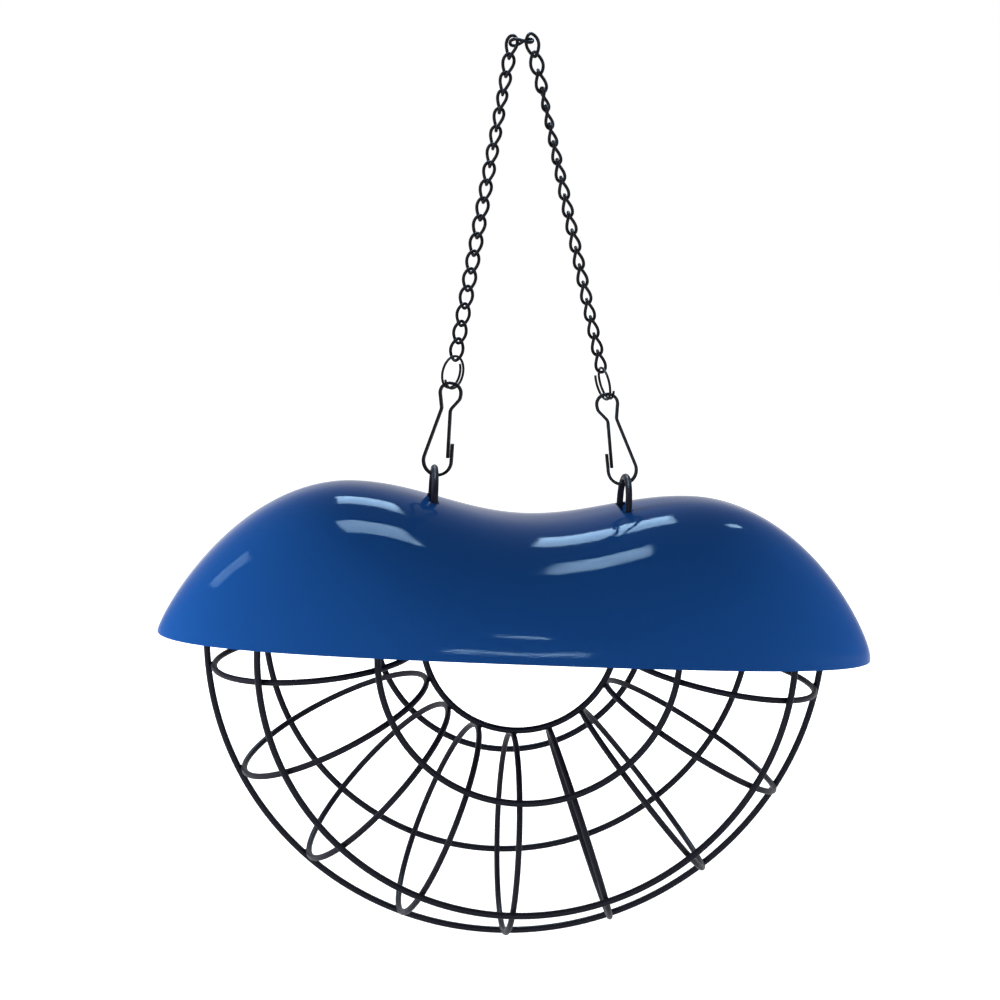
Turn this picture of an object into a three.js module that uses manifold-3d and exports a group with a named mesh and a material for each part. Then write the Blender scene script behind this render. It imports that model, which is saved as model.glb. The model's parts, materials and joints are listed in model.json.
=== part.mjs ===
// Fat ball feeder: a wire cage bent like a horseshoe, a domed roof over its two mouths, and a hanging chain.
// Millimetres, +Z up, X along the roof, front towards -Y, origin at the middle of the chain's top link.

import * as THREE from 'three';
import { mergeVertices } from 'three/addons/utils/BufferGeometryUtils.js';
import Module from 'manifold-3d';

// Fits
const weldGap = 0.3; // between two wires that touch for good
const seatGap = 0.3; // between the roof and the wires it rests on
const slotClearance = 0.7; // round a hanger in the roof
const linkPlay = 0.62; // between links, so that they turn on each other
const splitPlay = 0.9; // between a hook's eye and the split ring's turns in it
const hookPlay = 0.75; // between a hook's flat wire and the loop that hangs on it
const weldDepth = 0.4; // how far a hanger's leg sinks into its hoop

// Cage
const cageRadius = 81.5; // from the cage's centre to the middle of the ball tunnel
const hoopRadius = 40;
const hoopWire = 2;
const hoopCount = 9;
const hoopStep = 20.6; // degrees from hoop to hoop
const ringWire = 2.2;
const outerPair = 60; // degrees round the tunnel from the outermost ring
const innerPair = 124;
const mouthAngle = 102.2; // degrees from the lowest point to each open mouth
const ringTail = 2; // ring wire past the mouth's hoop

// Hangers
const hangerWire = 2.5;
const hangerWidth = 20.5; // between the legs
const hangerSpan = 76; // between the two loops
const hangerStand = 13; // loop above the roof
const hangerNeck = 12; // straight part of a leg, from the loop's top down
const hangerBend = 20; // radius below the neck, where the leg leans to its weld
const hangerFoot = 3; // leg below its weld

// Roof
const roofLength = 286;
const roofDepth = 117.5;
const roofSheet = 1.2;
const humpHeight = 61.4; // over the tips of the rim
const saddleHeight = 50.8;
const humpPlace = 68.5; // from the middle to each hump
const rimArch = 5.8; // rise of the rim's middle over its tips
const planPower = 2.05; // squareness of the outline seen from above
const sectionPower = 2.45; // squareness of the cross section
const endPower = [2, 1.23]; // fall of the ridge from a hump to its tip

// Snap hooks
const hookWire = 1.2;
const hookDepth = 2;
const hookHeight = 36.5; // between the wire's lowest and highest middle
const hookWidth = 13; // across the lower bend
const hookBend = 5.6; // radius of the lower bend
const hookTip = [-5, 13.2]; // from the middle, and over the lowest wire
const hookArmEnd = [-4.1, 7.6];
const neckWidth = 3.5; // between the two sides where they come closest
const neckHeight = 26.2;
const neckBend = 3;
const eyeWidth = 9.6;
const eyeBend = 3.8;
const eyeDepth = 5.5; // straight side of the eye
const hookTurn = [-18, 0]; // degrees, left and right

// Split rings
const splitDiameter = 13.6;
const splitWire = 1;
const splitTurns = 1.5;
const splitGap = 0.5; // between turns
const splitStart = 210; // degrees from the side to the first end
const splitRoll = [50, 102]; // degrees about the strand, left and right

// Chain
const linkLength = 9.85;
const linkWidth = 6;
const linkWire = 1.2;
const linkTwist = 90; // degrees from end to end
const linkCount = [18, 19]; // left and right
const rollStops = [
  [[1, -45], [2, -42], [4, -61], [18, -3]],
  [[1, -22], [4, 72], [9, 48], [19, 42]],
]; // links, and degrees they are turned about their strand
const topLinkRoll = 84; // degrees from facing the front
const topLinkSlope = 10; // degrees, its left end lower
const topLinkInset = 1.05; // from its ends to where the strands hang
const topLinkHang = 2.6; // a strand's upper end over that place
const balanceHeight = 24; // centre of mass over the cage's centre

// Derived sizes
const ringRadius = hoopRadius + (hoopWire + ringWire) / 2 + weldGap;
const linkHalf = (linkLength - linkWire) / 2;
const linkPitch = linkLength - 2 * linkWire - linkPlay;
const splitRadius = (splitDiameter - splitWire) / 2;
const radians = THREE.MathUtils.degToRad;

// Colours
const blackWire = { color: 0x17171a, roughness: 0.42, metalness: 0.35 };
const blackChain = { color: 0x141416, roughness: 0.4, metalness: 0.5 };
const blueEnamel = { color: 0x123f86, roughness: 0.12, metalness: 0.0 };

const wasm = await Module();
wasm.setup();

// A geometry with only merged positions and no collapsed faces
function weld(geometry) {
  const bare = geometry.index ? geometry.toNonIndexed() : geometry.clone();
  bare.deleteAttribute('normal');
  bare.deleteAttribute('uv');
  bare.clearGroups();
  const merged = mergeVertices(bare, 1e-4);
  const corners = Array.from(merged.index.array);
  const kept = [];
  for (let i = 0; i < corners.length; i += 3) {
    const [a, b, c] = corners.slice(i, i + 3);
    if (a !== b && b !== c && c !== a) kept.push(a, b, c);
  }
  merged.setIndex(kept);
  return merged;
}

function toSolid(geometry) {
  const merged = weld(geometry);
  const vertProperties = new Float32Array(merged.attributes.position.array);
  const triVerts = new Uint32Array(merged.index.array);
  return new wasm.Manifold(new wasm.Mesh({ numProp: 3, vertProperties, triVerts }));
}

function toGeometry(solid) {
  const mesh = solid.getMesh();
  const geometry = new THREE.BufferGeometry();
  geometry.setAttribute('position', new THREE.BufferAttribute(mesh.vertProperties, 3));
  geometry.setIndex(new THREE.BufferAttribute(mesh.triVerts, 1));
  return geometry;
}

function piece(name, geometry, look) {
  const mesh = new THREE.Mesh(weld(geometry), new THREE.MeshStandardMaterial(look));
  mesh.material.side = THREE.DoubleSide;
  mesh.name = name;
  return mesh;
}

// Curves
class Arc extends THREE.Curve {
  // Part of an upright circle round the cage's axis, its angle measured from the lowest point
  constructor(radius, depth, reach) {
    super();
    Object.assign(this, { radius, depth, reach });
  }
  getPoint(t) {
    const angle = (2 * t - 1) * this.reach;
    return new THREE.Vector3(this.radius * Math.sin(angle), this.depth, -this.radius * Math.cos(angle));
  }
}

class Turns extends THREE.Curve {
  // A split ring's wire, standing on its edge
  getPoint(t) {
    const angle = radians(splitStart + 360 * splitTurns * t);
    const along = (t - 0.5) * splitTurns * (splitWire + splitGap);
    return new THREE.Vector3(splitRadius * Math.cos(angle), along, splitRadius * Math.sin(angle));
  }
}

// A path of straight runs with round bends; each corner is [x, y, z, bend radius]
function bentPath(corners) {
  const path = new THREE.CurvePath();
  const points = corners.map(([x, y, z]) => new THREE.Vector3(x, y, z));
  let from = points[0];
  for (let i = 1; i < points.length - 1; i += 1) {
    const back = points[i - 1].clone().sub(points[i]).normalize();
    const ahead = points[i + 1].clone().sub(points[i]).normalize();
    const turn = Math.PI - back.angleTo(ahead);
    const bend = corners[i][3];
    const start = points[i].clone().addScaledVector(back, bend * Math.tan(turn / 2));
    const end = points[i].clone().addScaledVector(ahead, bend * Math.tan(turn / 2));
    const pull = (4 / 3) * Math.tan(turn / 4) * bend;
    const startPull = start.clone().addScaledVector(back, -pull);
    const endPull = end.clone().addScaledVector(ahead, -pull);
    path.add(new THREE.LineCurve3(from, start));
    path.add(new THREE.CubicBezierCurve3(start, startPull, endPull, end));
    from = end;
  }
  path.add(new THREE.LineCurve3(from, points[points.length - 1]));
  return path;
}

// Wires
function roundWire(path, wire, steps, sides = 6) {
  const section = new THREE.Shape();
  section.absarc(0, 0, wire / 2, 0, 2 * Math.PI);
  return new THREE.ExtrudeGeometry(section, { extrudePath: path, steps, curveSegments: sides / 2 });
}

function flatWire(path, thickness, depth, steps) {
  const section = new THREE.Shape();
  section.moveTo(-depth / 2, -thickness / 2);
  section.lineTo(depth / 2, -thickness / 2);
  section.lineTo(depth / 2, thickness / 2);
  section.lineTo(-depth / 2, thickness / 2);
  section.closePath();
  return new THREE.ExtrudeGeometry(section, { extrudePath: path, steps });
}

// A chain link: a torus drawn out to an oval and twisted about its length
function linkGeometry(along = 12, around = 5) {
  const oval = (t) => {
    const across = ((linkWidth - linkWire) / 2) * Math.cos(t);
    const height = linkHalf * Math.sin(t);
    const turn = radians(linkTwist / 2) * Math.sin(t);
    return new THREE.Vector3(across * Math.cos(turn), across * Math.sin(turn), height);
  };
  const torus = new THREE.TorusGeometry(2, 1, around, along);
  const { position, uv } = torus.attributes;
  for (let i = 0; i < position.count; i += 1) {
    const t = 2 * Math.PI * uv.getX(i);
    const v = 2 * Math.PI * uv.getY(i);
    const middle = oval(t);
    const ahead = oval(t + 0.01).sub(oval(t - 0.01)).normalize();
    const outward = middle.clone().addScaledVector(ahead, -middle.dot(ahead)).normalize();
    const side = ahead.clone().cross(outward);
    middle.addScaledVector(outward, (linkWire / 2) * Math.cos(v));
    middle.addScaledVector(side, -(linkWire / 2) * Math.sin(v));
    position.setXYZ(i, middle.x, middle.y, middle.z);
  }
  return torus;
}

// Turn of a link about its strand, between the stops
function rollAt(stops, link) {
  const next = Math.max(1, stops.findIndex(([stop]) => stop >= link));
  const [from, start] = stops[next - 1];
  const [to, end] = stops[next];
  return radians(THREE.MathUtils.mapLinear(link, from, to, start, end));
}

// Roof surface: height over the tips of the rim at a place in the plan, on a skin set in from the outside
function ridgeHeight(x, inset) {
  const reach = Math.abs(x);
  if (reach < humpPlace) {
    const rise = (1 - Math.cos((Math.PI * reach) / humpPlace)) / 2;
    return saddleHeight - inset + (humpHeight - saddleHeight) * rise;
  }
  const fall = Math.min(1, (reach - humpPlace) / (roofLength / 2 - inset - humpPlace));
  return (humpHeight - inset) * (1 - fall ** endPower[0]) ** (1 / endPower[1]);
}

function roofHeight(x, y, inset) {
  const reach = Math.min(1, Math.abs(x) / (roofLength / 2 - inset));
  const breadth = (roofDepth / 2 - inset) * (1 - reach ** planPower) ** (1 / planPower);
  const rim = rimArch * (1 - reach ** planPower);
  const across = breadth > 0.01 ? Math.abs(y) / breadth : 1;
  const dome = across > 0.9999 ? 0 : (1 - across ** sectionPower) ** (1 / sectionPower);
  return rim + (Math.max(rim, ridgeHeight(x, inset)) - rim) * dome;
}

// The roof's shell: a thin revolved lid drawn out to the plan and raised to the two skins
function roofGeometry(rays = 44, steps = 11) {
  const inside = [];
  const outside = [];
  for (let i = 0; i <= steps; i += 1) {
    const out = Math.sin((Math.PI / 2) * (i / steps));
    inside.push(new THREE.Vector2(out, -1));
    outside.unshift(new THREE.Vector2(out, 1));
  }
  const lid = new THREE.LatheGeometry([...inside, ...outside], rays);
  const { position } = lid.attributes;
  const spread = (value) => Math.sign(value) * Math.abs(value) ** (2 / planPower);
  for (let i = 0; i < position.count; i += 1) {
    const inset = position.getY(i) < 0 ? roofSheet : 0;
    const out = Math.hypot(position.getX(i), position.getZ(i));
    const angle = Math.atan2(position.getX(i), position.getZ(i));
    const x = out * (roofLength / 2 - inset) * spread(Math.cos(angle));
    const y = out * (roofDepth / 2 - inset) * spread(Math.sin(angle));
    position.setXYZ(i, x, y, roofHeight(x, y, inset));
  }
  return lid;
}

// Cage wires
const cage = new THREE.Group();
const ringPlaces = {
  outer: 0,
  front_outer: outerPair,
  front_inner: innerPair,
  inner: 180,
  back_inner: -innerPair,
  back_outer: -outerPair,
};
const ringReach = radians(mouthAngle);
Object.entries(ringPlaces).forEach(([name, degrees]) => {
  const place = radians(degrees);
  const radius = cageRadius + ringRadius * Math.cos(place);
  const path = new Arc(radius, -ringRadius * Math.sin(place), ringReach + (hoopWire / 2 + ringTail) / radius);
  cage.add(piece(`ring_${name}`, roundWire(path, ringWire, 28), blackWire));
});

function hoopGeometry(angle) {
  const hoop = new THREE.TorusGeometry(hoopRadius, hoopWire / 2, 6, 24);
  hoop.translate(cageRadius, 0, 0);
  hoop.rotateY(Math.PI / 2 - radians(angle));
  return hoop;
}

for (let i = 0; i < hoopCount; i += 1) {
  const angle = hoopStep * (i - (hoopCount - 1) / 2);
  cage.add(piece(`hoop_${i + 1}`, hoopGeometry(angle), blackWire));
}

// Hanger legs: each is welded to the inner side of its mouth's hoop and leans to its place in the roof
const mouthHoops = [-mouthAngle, mouthAngle].map(hoopGeometry);
const legInset = Math.sqrt(hoopRadius ** 2 - (hangerWidth / 2) ** 2);
const weldRadius = cageRadius - legInset;
const weldHeight = -weldRadius * Math.cos(ringReach);
const weldPlace = weldRadius * Math.sin(ringReach) - (hoopWire + hangerWire) / 2 + weldDepth;
const hangerPlace = hangerSpan / 2;

// Roof with a slot for each hanger, so that it lifts off over the loops
let roofSolid = toSolid(roofGeometry());
const slotRadius = hangerWire / 2 + slotClearance;
const slot = new THREE.Shape();
slot.absarc(0, -hangerWidth / 2, slotRadius, Math.PI, 2 * Math.PI);
slot.absarc(0, hangerWidth / 2, slotRadius, 0, Math.PI);
for (const x of [-hangerPlace, hangerPlace]) {
  const punch = new THREE.ExtrudeGeometry(slot, { depth: humpHeight, bevelEnabled: false, curveSegments: 3 });
  punch.translate(x, 0, saddleHeight / 2);
  roofSolid = roofSolid.subtract(toSolid(punch));
}
const roof = piece('roof', toGeometry(roofSolid), blueEnamel);

// The roof comes down until its underside meets the cage's ends
function seatHeight() {
  const start = 200;
  const probe = new THREE.Mesh(roof.geometry, roof.material);
  probe.position.z = start;
  probe.updateMatrixWorld();
  const wires = cage.children.map((wire) => wire.geometry).concat(mouthHoops);
  let room = Infinity;
  for (const { attributes } of wires) {
    for (let i = 0; i < attributes.position.count; i += 1) {
      const from = new THREE.Vector3().fromBufferAttribute(attributes.position, i);
      if (from.z < 0) continue;
      const [hit] = new THREE.Raycaster(from, new THREE.Vector3(0, 0, 1)).intersectObject(probe);
      if (hit) room = Math.min(room, hit.distance);
    }
  }
  return start - room + seatGap;
}
roof.position.z = seatHeight();
cage.add(roof);

// Hangers: a mouth's hoop with the loop welded to it
const loopTop = roof.position.z + ridgeHeight(hangerPlace, 0) + hangerStand - hangerWire / 2;
['left', 'right'].forEach((side, index) => {
  const hand = index === 0 ? -1 : 1;
  const foot = weldHeight - hangerFoot;
  const half = hangerWidth / 2;
  const neck = loopTop - hangerNeck;
  const corners = [
    [hand * weldPlace, -half, foot],
    [hand * hangerPlace, -half, neck, hangerBend],
    [hand * hangerPlace, -half, loopTop, half * 0.98],
    [hand * hangerPlace, half, loopTop, half * 0.98],
    [hand * hangerPlace, half, neck, hangerBend],
    [hand * weldPlace, half, foot],
  ];
  const loop = roundWire(bentPath(corners), hangerWire, 40);
  const joined = toSolid(mouthHoops[index]).add(toSolid(loop));
  cage.add(piece(`hanger_${side}`, toGeometry(joined), blackWire));
});

// Snap hook: one flat wire from its tip round the lower bend, over the eye and back down as the spring arm
function hookGeometry() {
  const corners = [
    [hookTip[0], 0, hookTip[1]],
    [-hookWidth / 2, 0, 0, hookBend],
    [hookWidth / 2, 0, 0, hookBend],
    [neckWidth / 2, 0, neckHeight, neckBend],
    [eyeWidth / 2, 0, hookHeight, eyeBend],
    [-eyeWidth / 2, 0, hookHeight, eyeBend],
    [-eyeWidth / 2, 0, hookHeight - eyeDepth, neckBend],
    [-neckWidth / 2, 0, neckHeight, neckBend],
    [hookArmEnd[0], 0, hookArmEnd[1]],
  ];
  return flatWire(bentPath(corners), hookWire, hookDepth, 64);
}

// Heights along a strand, from the middle of the hook's lowest wire
const splitLow = hookHeight - (hookWire + splitWire) / 2 - splitPlay;
const splitHigh = splitLow + 2 * splitRadius;
const chainLow = splitHigh - (splitWire + linkWire) / 2 - linkPlay;
const strandLength = linkCount.map((count) => chainLow + 2 * linkHalf + (count - 1) * linkPitch);

// The top link's place in the cage's frame, where both strands are straight
const hookLow = loopTop - (hookWire + hangerWire) / 2 - hookPlay;
const slope = radians(topLinkSlope);
const endReach = (linkHalf - topLinkInset) * Math.cos(slope);
const endDrop = (linkHalf - topLinkInset) * Math.sin(slope);
const leftCentre = new THREE.Vector2(-hangerPlace + endReach, hookLow + endDrop - topLinkHang);
const rightCentre = new THREE.Vector2(hangerPlace - endReach, hookLow - endDrop - topLinkHang);
const span = leftCentre.distanceTo(rightCentre);
const baseline = rightCentre.clone().sub(leftCentre).normalize();
const alongBase = (strandLength[0] ** 2 - strandLength[1] ** 2 + span ** 2) / (2 * span);
const overBase = Math.sqrt(strandLength[0] ** 2 - alongBase ** 2);
const apex = leftCentre.clone().addScaledVector(baseline, alongBase);
apex.x -= baseline.y * overBase;
apex.y += baseline.x * overBase;

// Everything hangs with its centre of mass under the top link, so the longer strand's side is lower
const feeder = new THREE.Group();
feeder.rotation.y = Math.atan2(-apex.x, apex.y - balanceHeight);
cage.position.set(-apex.x, 0, -apex.y);
feeder.add(cage);

const topLink = piece('link_top', linkGeometry(), blackChain);
topLink.rotation.set(0, Math.PI / 2 - slope, radians(topLinkRoll), 'YXZ');
feeder.add(topLink);

['left', 'right'].forEach((side, index) => {
  const hand = index === 0 ? -1 : 1;
  const foot = new THREE.Vector2(hand * hangerPlace - apex.x, hookLow - apex.y);
  const head = new THREE.Vector2(hand * endReach, hand * endDrop + topLinkHang);
  const strand = new THREE.Group();
  strand.position.set(foot.x, 0, foot.y);
  strand.rotation.y = Math.atan2(head.x - foot.x, head.y - foot.y);
  feeder.add(strand);

  const hook = piece(`hook_${side}`, hookGeometry(), blackWire);
  hook.rotation.z = radians(hookTurn[index]) + (hand < 0 ? Math.PI : 0);
  strand.add(hook);

  const split = piece(`split_ring_${side}`, roundWire(new Turns(), splitWire, 30), blackChain);
  split.position.z = splitLow + splitRadius;
  split.rotation.z = radians(splitRoll[index]);
  strand.add(split);

  const count = linkCount[index];
  for (let i = 0; i < count; i += 1) {
    const name = `link_${side}_${String(i + 1).padStart(2, '0')}`;
    const link = piece(name, linkGeometry(), blackChain);
    link.position.z = chainLow + linkHalf + (count - 1 - i) * linkPitch;
    link.rotation.z = rollAt(rollStops[index], i + 1);
    strand.add(link);
  }
});

export default feeder;
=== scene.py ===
"""Looks of a hanging fat ball feeder: wire cage, enamelled roof, snap hooks and chain."""

import json
import math

import bmesh
import bpy
from bpy.props import FloatProperty, FloatVectorProperty, IntProperty, PointerProperty
from mathutils import Matrix, Vector


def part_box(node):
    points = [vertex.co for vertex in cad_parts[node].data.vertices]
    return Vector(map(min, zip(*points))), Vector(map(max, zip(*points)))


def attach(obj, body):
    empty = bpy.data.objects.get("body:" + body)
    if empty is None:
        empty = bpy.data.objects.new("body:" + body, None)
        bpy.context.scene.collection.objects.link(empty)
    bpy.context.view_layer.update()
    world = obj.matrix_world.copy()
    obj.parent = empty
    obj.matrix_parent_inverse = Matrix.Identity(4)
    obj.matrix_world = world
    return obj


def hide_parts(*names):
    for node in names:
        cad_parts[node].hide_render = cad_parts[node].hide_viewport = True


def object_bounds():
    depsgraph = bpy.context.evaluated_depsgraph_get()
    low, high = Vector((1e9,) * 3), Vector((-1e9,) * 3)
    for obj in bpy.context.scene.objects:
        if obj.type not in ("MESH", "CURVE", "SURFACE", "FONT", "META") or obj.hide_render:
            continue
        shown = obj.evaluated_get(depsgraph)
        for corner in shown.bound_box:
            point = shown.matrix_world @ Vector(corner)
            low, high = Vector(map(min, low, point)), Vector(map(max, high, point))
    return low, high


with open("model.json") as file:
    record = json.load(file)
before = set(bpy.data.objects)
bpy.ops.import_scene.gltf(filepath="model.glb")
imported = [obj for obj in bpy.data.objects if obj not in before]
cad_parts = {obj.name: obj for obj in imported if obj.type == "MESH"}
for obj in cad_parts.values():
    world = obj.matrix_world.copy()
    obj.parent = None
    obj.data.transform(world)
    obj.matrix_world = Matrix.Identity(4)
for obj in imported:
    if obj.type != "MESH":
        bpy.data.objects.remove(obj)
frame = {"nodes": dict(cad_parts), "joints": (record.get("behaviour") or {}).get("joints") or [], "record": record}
cad_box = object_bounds()

bl_info = {
    "name": "Fat Ball Feeder",
    "version": (1, 0, 0),
    "blender": (4, 5, 0),
    "location": "3D View > Sidebar > Feeder",
    "description": "Builds the wire cage, roof, hangers, hooks and chain of a fat ball feeder",
    "category": "Object",
}

ORIGIN = (0, 0, 0)
BACK = Vector((0, 1, 0))
UP = Vector((0, 0, 1))
FULL_TURN = 2 * math.pi
JOINTS = {joint["name"]: joint for joint in frame["joints"]}
# Each side, and the way it lies along X
SIDES = {"left": -1, "right": 1}
# Each ring's step from the outermost to the innermost one, with the back ones below zero
CAGE_RINGS = {
    "ring_outer": 0,
    "ring_front_outer": 1,
    "ring_front_inner": 2,
    "ring_inner": 3,
    "ring_back_inner": -2,
    "ring_back_outer": -1,
}
# Numbers of links from the top, and the degrees that they are turned about their strand
ROLL_STOPS = {
    "left": ((1, -45), (2, -42), (4, -61), (18, -3)),
    "right": ((1, -22), (4, 72), (9, 48), (19, 42)),
}

# Facets round the wires, along them and round a slot, and the turn of one facet in a bend
WIRE_SIDES = 16
RING_STEPS = 128
HOOP_STEPS = 112
SPLIT_SIDES = 14
SPLIT_STEPS = 108
LINK_SIDES = 12
LINK_STEPS = 56
SLOT_SIDES = 24
BEND_STEP = math.radians(7)
FEWEST_STEPS = 3
# A wire's end: how far each step goes on, in thicknesses, and its size next to the step before
CUT_STEPS = ((0.10, 0.90), (0.06, 0.72))
# A leg's weld bead, flattened on its hoop and drawn out along the leg
LEG_BEAD = (0.8, 1, 1.5)
# Length in metres of the punch that cuts a slot
PUNCH = 0.06
# Nearer than this to the rim or to a tip, the roof's skin counts as the rim
RIM_EDGE = 1e-5
# A link is bent from a torus of this radius, round a section one wide
TORUS = 2.0
# Angle to each of the two points that give a link's direction
LINK_NEAR = 0.01
# Lightness that the paler tone of a black finish starts from
PALE_START = 0.004

# What the lamps are aimed at
FEEDER_MIDDLE = (0, 0, -0.2)
LEFT_END = (-0.11, -0.03, -0.19)
RIGHT_HUMP = (0.077, -0.026, -0.184)
FRONT_RIM = (0, -0.058, -0.217)
# Name, place, target, size, power in watts, and turn about the beam in degrees
SOFTBOXES = (
    ("left_softbox", (-1.97, -0.24, 0), FEEDER_MIDDLE, (1.2, 1.2), 46, 0),
    ("right_softbox", (1.97, -0.24, 0), FEEDER_MIDDLE, (1.2, 1.2), 28, 0),
    ("top_softbox", (0, 1.0, 1.54), FEEDER_MIDDLE, (1.2, 1.2), 5, 0),
    ("back_softbox", (0, 2.35, 0.65), FEEDER_MIDDLE, (1.6, 0.8), 40, 0),
)
PANELS = (
    ("back_panel", (0.035, 1.035, 1.0), (0.035, 1.035, 0), (0.49, 0.53), 50, 0),
    ("front_panel", (-0.05, -0.05, 1.0), (-0.05, -0.05, 0), (0.51, 0.33), 95, 9),
    ("left_streak", (-1.34, 0.16, 0.60), LEFT_END, (0.36, 0.42), 24, 0),
    ("right_spot", (0.653, 0.544, 0.704), RIGHT_HUMP, (0.10, 0.14), 3.6, 0),
    ("low_dash", (0.135, -1.55, -0.127), FRONT_RIM, (0.17, 0.04), 6, 0),
    ("low_streak", (0.08, -1.50, -0.47), FRONT_RIM, (0.60, 0.04), 15, 0),
)


def length(name, description, default):
    """A size in metres that a user may change."""
    return FloatProperty(
        name=name, description=description, default=default, min=0, unit="LENGTH", precision=5
    )


def angle(name, description, degrees):
    """An angle that a user may change."""
    return FloatProperty(name=name, description=description, default=math.radians(degrees), subtype="ANGLE")


def number(name, description, default):
    """A plain value that a user may change."""
    return FloatProperty(name=name, description=description, default=default, min=0)


def share(name, description, default):
    """A value from nought to one that a user may change."""
    return FloatProperty(name=name, description=description, default=default, min=0, max=1, subtype="FACTOR")


def count(name, description, default, fewest):
    """A whole number that a user may change."""
    return IntProperty(name=name, description=description, default=default, min=fewest)


def position(name, description, default):
    """A place that a user may change."""
    return FloatVectorProperty(
        name=name, description=description, default=default, size=3, subtype="TRANSLATION"
    )


def color(name, description, default):
    """A colour that a user may change."""
    return FloatVectorProperty(
        name=name, description=description, default=default, size=3, min=0, max=1, subtype="COLOR"
    )


# Settings


class CageSettings(bpy.types.PropertyGroup):
    """Sizes of the ball tunnel's wires"""

    tunnel: length("Tunnel radius", "From the cage's centre to the middle of the ball tunnel", 0.0815)
    hoop: length("Hoop radius", "Radius of one hoop of the tunnel", 0.040)
    hoop_wire: length("Hoop wire", "Thickness of the bare hoops", 0.002)
    ring_wire: length("Ring wire", "Thickness of the bare rings", 0.0022)
    weld: length("Weld", "Gap between two bare wires at a weld", 0.0003)
    bead: length("Weld bead", "Radius of a weld bead along the wires", 0.0012)
    bead_rise: length("Bead rise", "Radius of a weld bead from wire to wire", 0.0009)
    film: length("Film", "Thickness of the coating on a wire", 0.0002)
    hoop_step: angle("Hoop step", "Angle from hoop to hoop", 20.6)
    mouth: angle("Mouth", "Angle from the lowest point to each open mouth", 102.2)
    outer_pair: angle("Outer pair", "Angle of the outer side rings round the tunnel", 60)
    inner_pair: angle("Inner pair", "Angle of the inner side rings round the tunnel", 124)
    tail: length("Ring tail", "Ring wire past the mouth's hoop", 0.002)
    coat: color("Coating", "Colour of the coated wire", (0.011, 0.010, 0.015))


class HangerSettings(bpy.types.PropertyGroup):
    """Sizes of the loops that come up through the roof"""

    wire: length("Wire", "Thickness of the loop's bare wire", 0.0025)
    film: length("Film", "Thickness of the coating on a loop", 0.0001)
    width: length("Width", "Between the legs of a loop", 0.0205)
    span: length("Span", "Between the two loops", 0.076)
    stand: length("Stand", "Height of a loop above the roof", 0.013)
    top_round: share("Top roundness", "Roundness of a loop's top, where one is a half circle", 0.98)
    neck: length("Neck", "Straight part of a leg, from the loop's top down", 0.012)
    foot: length("Foot", "Leg below its weld", 0.003)
    bend: length("Leg bend", "Radius of the bend where a leg turns upright", 0.020)
    weld_depth: length("Weld depth", "How far a leg sinks into its hoop", 0.0004)
    bead: length("Weld bead", "Radius of the weld bead on a leg", 0.0013)


class RoofSettings(bpy.types.PropertyGroup):
    """Sizes and colours of the roof"""

    span: length("Length", "Roof from tip to tip", 0.286)
    depth: length("Depth", "Roof from front to back", 0.1175)
    sheet: length("Sheet", "Thickness of the pressed sheet", 0.0012)
    hump: length("Hump height", "Height of the humps over the tips of the rim", 0.0614)
    saddle: length("Saddle height", "Height of the saddle over the tips of the rim", 0.0508)
    hump_place: length("Hump place", "From the middle to each hump", 0.0685)
    rim_arch: length("Rim arch", "Rise of the rim's middle over its tips", 0.0058)
    slot_gap: length("Slot gap", "Clearance round a hanger", 0.0007)
    plan_power: number("Plan power", "Squareness of the outline seen from above", 2.05)
    section_power: number("Section power", "Squareness of the cross section", 2.45)
    end_power: number("End power", "How late the ridge falls to a tip", 2.0)
    end_round: number("End roundness", "How steeply the ridge meets a tip", 1.23)
    rays: count("Rays", "Faces round the roof", 240, 24)
    rings: count("Rings", "Faces from the middle to the rim", 64, 8)
    enamel: color("Enamel", "Colour of the enamel", (0.012, 0.092, 0.362))
    enamel_deep: color("Deep enamel", "Colour where the enamel lies thick", (0.011, 0.084, 0.335))


class HookSettings(bpy.types.PropertyGroup):
    """Sizes of the snap hooks and split rings"""

    wire: length("Wire", "Thickness of the hook's flat wire", 0.0012)
    depth: length("Depth", "Width of the hook's flat wire", 0.002)
    height: length("Height", "From the lowest to the highest wire of a hook", 0.0365)
    corner: length("Corner", "Rounding of the flat wire", 0.00028)
    width: length("Width", "Across the lower bend", 0.013)
    bend: length("Bend", "Radius of the lower bend", 0.0056)
    tip: length("Tip", "Height of the tip over the lowest wire", 0.0132)
    tip_reach: length("Tip reach", "From the middle to the tip", 0.005)
    arm: length("Arm end", "Height of the spring arm's end over the lowest wire", 0.0076)
    arm_reach: length("Arm reach", "From the middle to the spring arm's end", 0.0041)
    neck: length("Neck", "Height where the two sides come closest", 0.0262)
    neck_width: length("Neck width", "Between the two sides at the neck", 0.0035)
    neck_bend: length("Neck bend", "Radius of the bends at the neck", 0.003)
    eye_width: length("Eye width", "Across the eye", 0.0096)
    eye_bend: length("Eye bend", "Radius of the eye's upper corners", 0.0038)
    eye_depth: length("Eye depth", "Straight side of the eye", 0.0055)
    left_turn: angle("Left turn", "How far the left hook is turned about its strand", 162)
    right_turn: angle("Right turn", "How far the right hook is turned about its strand", 0)
    split: length("Split ring", "Outside of a split ring", 0.0136)
    split_wire: length("Split ring wire", "Thickness of a split ring's wire", 0.001)
    split_gap: length("Split ring gap", "Gap between a split ring's turns", 0.0005)
    split_play: length("Split ring play", "Between a hook's eye and the split ring in it", 0.0009)
    split_turns: number("Turns", "Turns of a split ring", 1.5)
    split_start: angle("Split start", "From the side of a split ring to its first end", 210)
    left_roll: angle("Left split ring", "Turn of the left split ring about its strand", 50)
    right_roll: angle("Right split ring", "Turn of the right split ring about its strand", 102)
    plating: color("Plating", "Colour of hooks, split rings and chain", (0.008, 0.0075, 0.010))


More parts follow.
